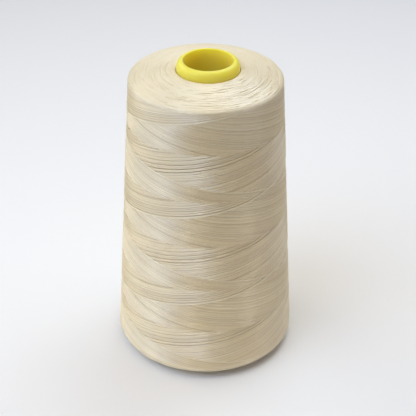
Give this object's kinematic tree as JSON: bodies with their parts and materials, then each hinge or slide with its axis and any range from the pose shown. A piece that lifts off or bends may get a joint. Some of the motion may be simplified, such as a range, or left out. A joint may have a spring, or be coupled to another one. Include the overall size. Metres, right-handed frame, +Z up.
{
  "type": "cone of thread",
  "caption": "Cone of cream sewing thread, cross-wound on a tapered yellow plastic core that stands on its foot and shows as a rounded rim at the top.",
  "frame": {"origin": "centre of the thread package, on the surface that the core's foot stands on", "axes": "+Z up along the core, from its wide foot to its rim; -Y is the side that faces the viewer"},
  "size_m": [0.0667, 0.0667, 0.115],
  "materials": {
    "core": "smooth, slightly see-through yellow plastic",
    "thread": "cream spun sewing thread with a soft sheen along its turns"
  },
  "bodies": {
    "root": {"core": "core", "thread_package": "thread"}
  },
  "joints": []
}
